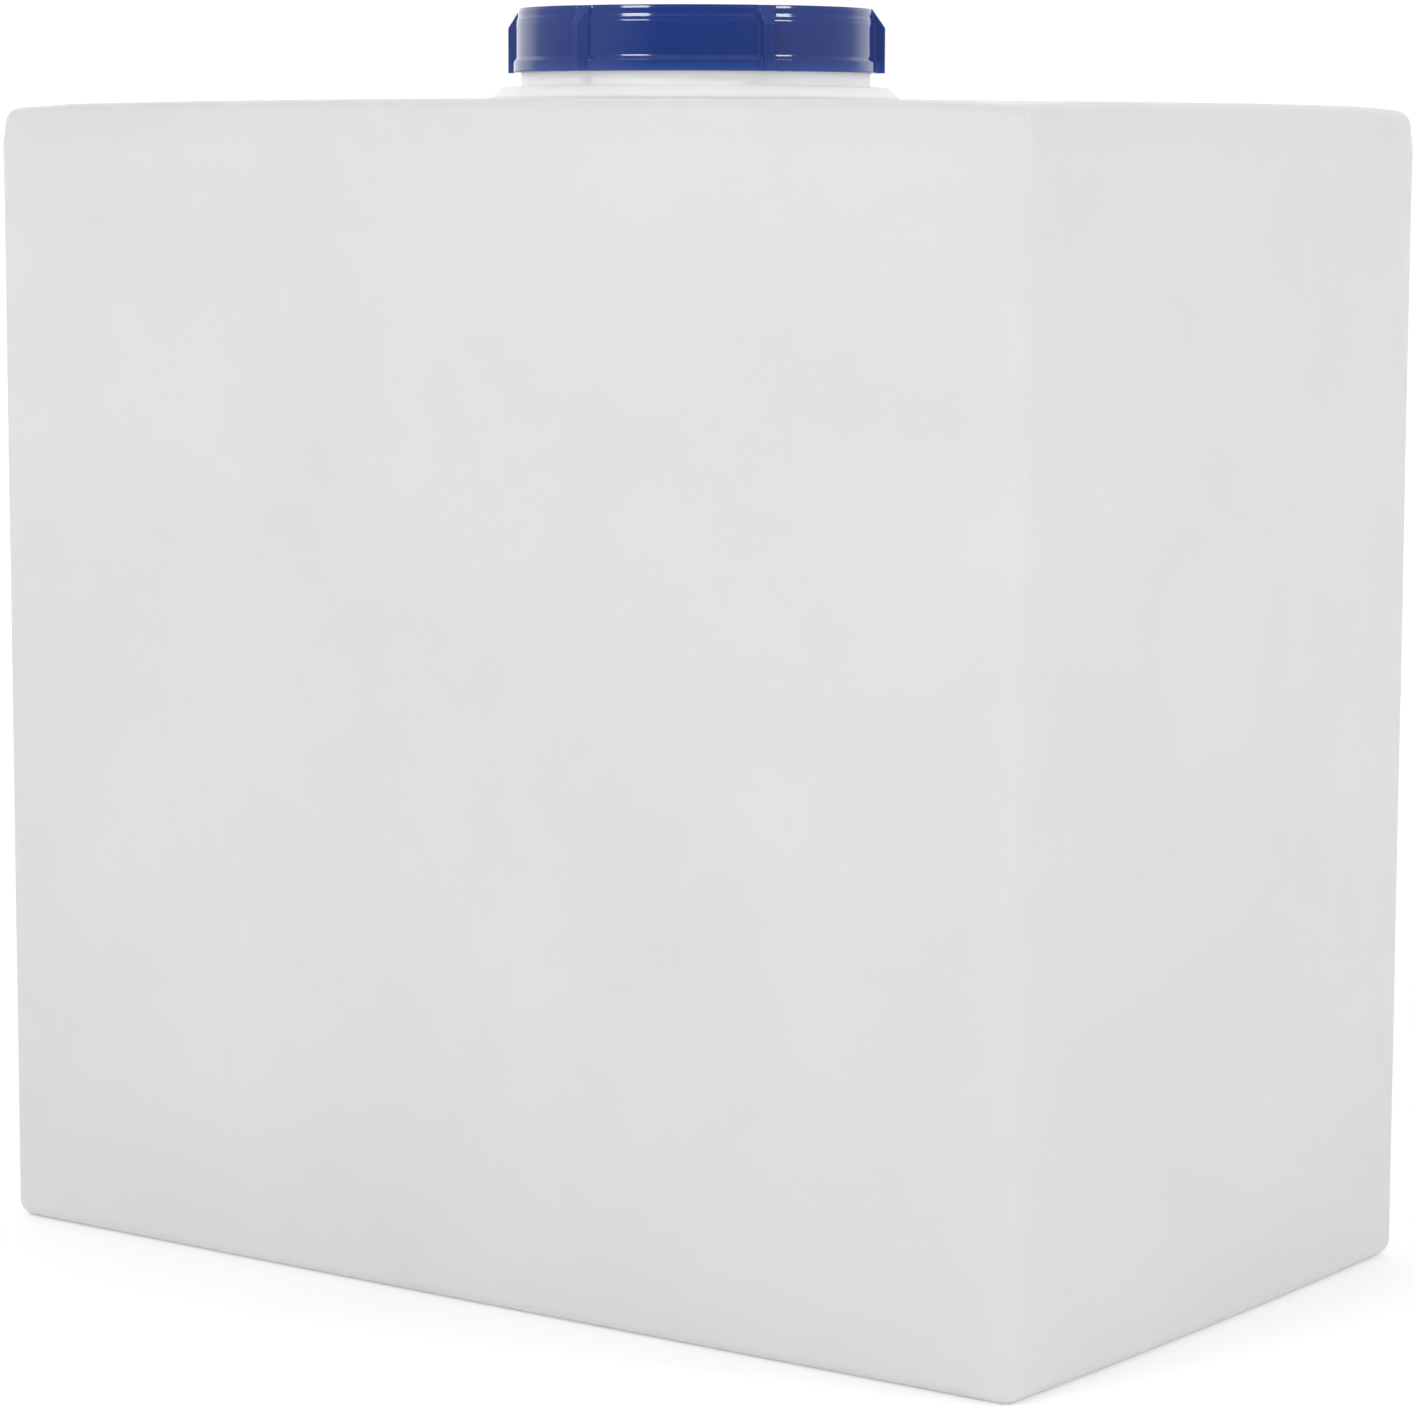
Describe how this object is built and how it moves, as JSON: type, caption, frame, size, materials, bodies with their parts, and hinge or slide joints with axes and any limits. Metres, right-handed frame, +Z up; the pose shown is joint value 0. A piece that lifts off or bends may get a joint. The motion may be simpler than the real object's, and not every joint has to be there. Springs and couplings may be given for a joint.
{
  "type": "expansion tank",
  "caption": "Free-standing rectangular plastic expansion tank, open-vented, with a wide ribbed screw lid on a moulded neck, a breather in the lid, and threaded outlet and overflow connectors.",
  "frame": {"origin": "centre of the tank's flat underside, straight below the neck's axis", "axes": "+X along the length, away from the connectors on the rear (-X) end wall; +Y across the width; +Z up along the neck's axis"},
  "size_m": [0.6294, 0.3502, 0.5959],
  "materials": {
    "tank_polyethylene": "natural white polyethylene, satin, faintly uneven",
    "lid_plastic": "royal blue, glossy injection moulding",
    "seal_rubber": "black rubber, matt",
    "fitting_plastic": "black polypropylene, satin",
    "washer_plastic": "natural polypropylene, satin",
    "disc_plastic": "natural acetal, satin"
  },
  "bodies": {
    "tank": {"tank_body": "tank_polyethylene", "outlet_body": "fitting_plastic", "outlet_seal": "seal_rubber", "outlet_washer": "washer_plastic", "outlet_nut": "fitting_plastic", "overflow_body": "fitting_plastic", "overflow_seal": "seal_rubber", "overflow_washer": "washer_plastic", "overflow_nut": "fitting_plastic"},
    "lid_seal": {"lid_gasket": "seal_rubber"},
    "lid": {"lid": "lid_plastic", "breather_body": "fitting_plastic", "breather_washer": "seal_rubber", "breather_nut": "fitting_plastic", "breather_cap": "fitting_plastic"},
    "vent_disc": {"breather_disc": "disc_plastic"}
  },
  "joints": [
    {"name": "lid_lift", "type": "slide", "parent": "tank", "child": "lid_seal", "axis": [0, 0, 1], "range_m": [0, 0.016]},
    {"name": "lid_turn", "type": "hinge", "parent": "lid_seal", "child": "lid", "pos_m": [0, 0, 0.58], "axis": [0, 0, 1], "range_deg": [0, 720]},
    {"name": "vent_disc_lift", "type": "slide", "parent": "lid", "child": "vent_disc", "axis": [0, 0, 1], "range_m": [0, 0.0018]}
  ],
  "couplings": [
    {"joint": "lid_lift", "follows": "lid_turn", "m_per_rad": 0.0012732}
  ]
}
